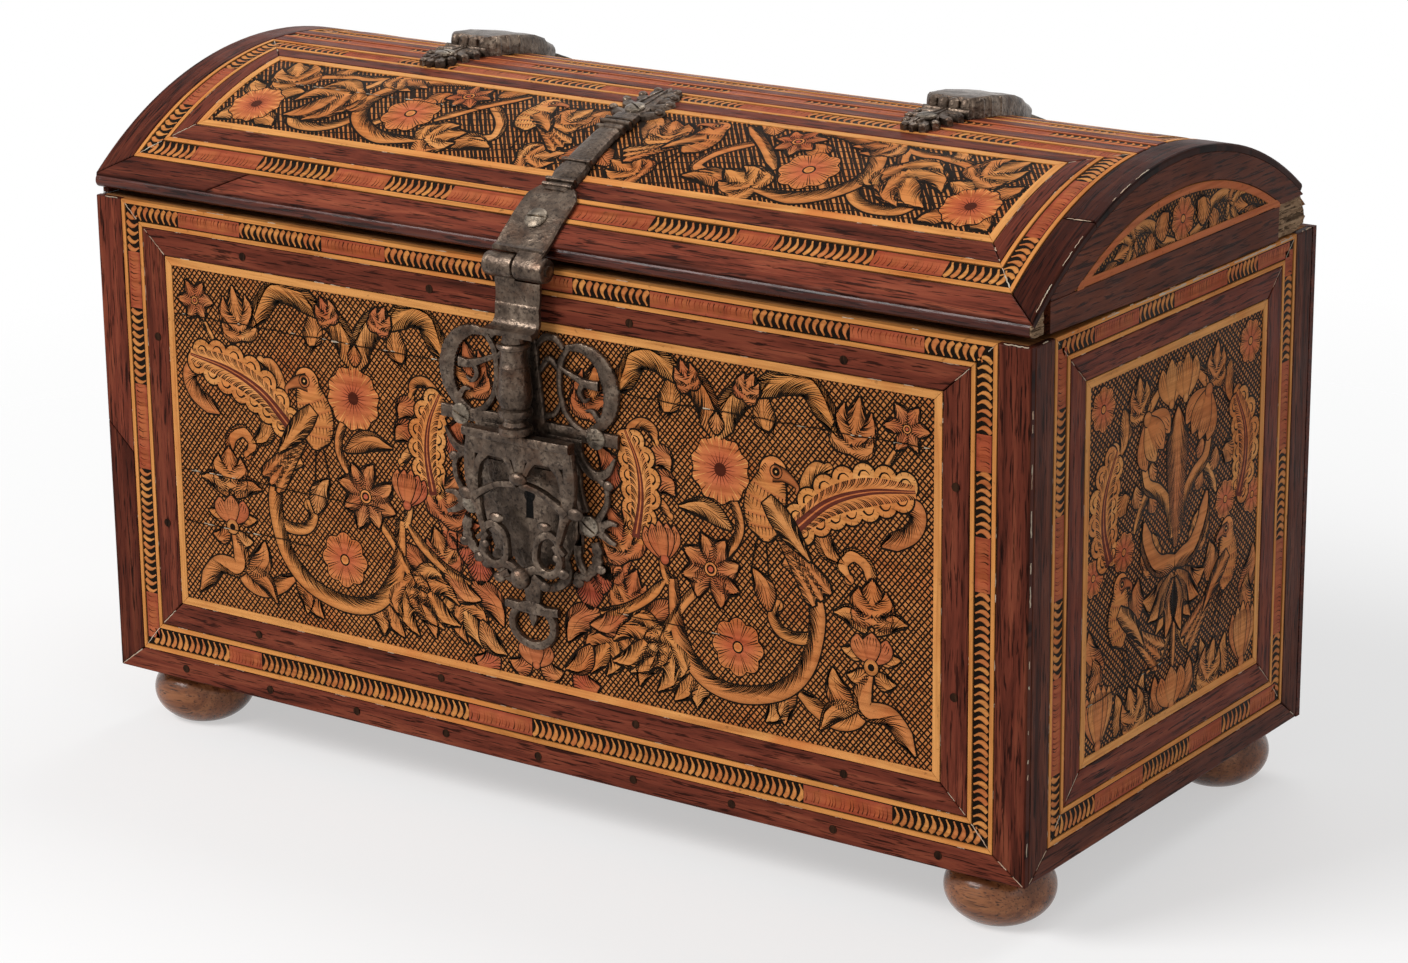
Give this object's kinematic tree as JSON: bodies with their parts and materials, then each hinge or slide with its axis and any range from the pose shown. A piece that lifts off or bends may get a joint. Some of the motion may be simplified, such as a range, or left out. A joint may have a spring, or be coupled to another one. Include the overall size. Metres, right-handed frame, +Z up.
{
  "type": "inlaid casket",
  "caption": "Arched-lid wooden casket with floral inlay panels in dark frames, bun feet, iron strap hinges and a hinged hasp over a pierced lock plate.",
  "frame": {"origin": "on the floor, under the middle of the overall outline, about 4 mm in front of the middle of the case", "axes": "+X along the length to the right, -Y to the front with the lock, +Z up"},
  "size_m": [0.45, 0.2468, 0.2909],
  "materials": {
    "carcass": "plain oiled wood",
    "feet": "polished turned walnut",
    "rosewood": "waxed dark red-brown wood",
    "banding": "waxed inlay banding",
    "inlay": "waxed engraved inlay",
    "peg": "dark peg ends",
    "iron": "dark forged and filed iron"
  },
  "bodies": {
    "case": {"front_board": "carcass", "back_board": "carcass", "left_end_board": "carcass", "right_end_board": "carcass", "bottom_board": "carcass", "back_panel": "carcass", "front_left_foot": "feet", "front_right_foot": "feet", "rear_left_foot": "feet", "rear_right_foot": "feet", "front_outer_strips": "rosewood", "right_outer_strips": "rosewood", "left_outer_strips": "rosewood", "back_outer_strips": "rosewood", "front_inner_frame": "rosewood", "right_inner_frame": "rosewood", "left_inner_frame": "rosewood", "front_inlay_band": "banding", "right_inlay_band": "banding", "left_inlay_band": "banding", "front_inlay_panel": "inlay", "right_inlay_panel": "inlay", "left_inlay_panel": "inlay", "case_pegs": "peg", "lock_plate": "iron", "lock_plate_screws": "iron", "lock_case": "iron", "bolt_spring": "iron", "left_hinge_leaf": "iron", "right_hinge_leaf": "iron", "hinge_leaf_nails": "iron", "left_hinge_pin": "iron", "right_hinge_pin": "iron"},
    "lid": {"lid_front_rail": "rosewood", "lid_back_rail": "rosewood", "lid_left_end": "carcass", "lid_right_end": "carcass", "lid_staves": "carcass", "lid_outer_strips": "rosewood", "lid_ridge_strips": "rosewood", "lid_ridge_band": "banding", "lid_front_band": "banding", "lid_front_frame": "rosewood", "lid_front_panel": "inlay", "lid_back_band": "banding", "lid_back_frame": "rosewood", "lid_back_panel": "inlay", "lid_end_facings": "rosewood", "lid_lunettes": "inlay", "left_hinge_strap": "iron", "right_hinge_strap": "iron", "lid_hardware_nails": "iron", "hasp_strap": "iron", "hasp_hinge_pin": "iron"},
    "hasp": {"hasp_plate": "iron", "hasp_baluster": "iron", "hasp_shield": "iron", "hasp_staple": "iron"},
    "bolt": {"lock_bolt": "iron"}
  },
  "joints": [
    {"name": "lid_hinge", "type": "hinge", "parent": "case", "child": "lid", "pos_m": [0, 0.11935, 0.2319], "axis": [-1, 0, 0], "range_deg": [0, 100]},
    {"name": "hasp_hinge", "type": "hinge", "parent": "lid", "child": "hasp", "pos_m": [0, -0.11285, 0.2322], "axis": [-1, 0, 0], "range_deg": [0, 150]},
    {"name": "bolt_slide", "type": "slide", "parent": "case", "child": "bolt", "axis": [-1, 0, 0], "range_m": [0, 0.009]}
  ]
}
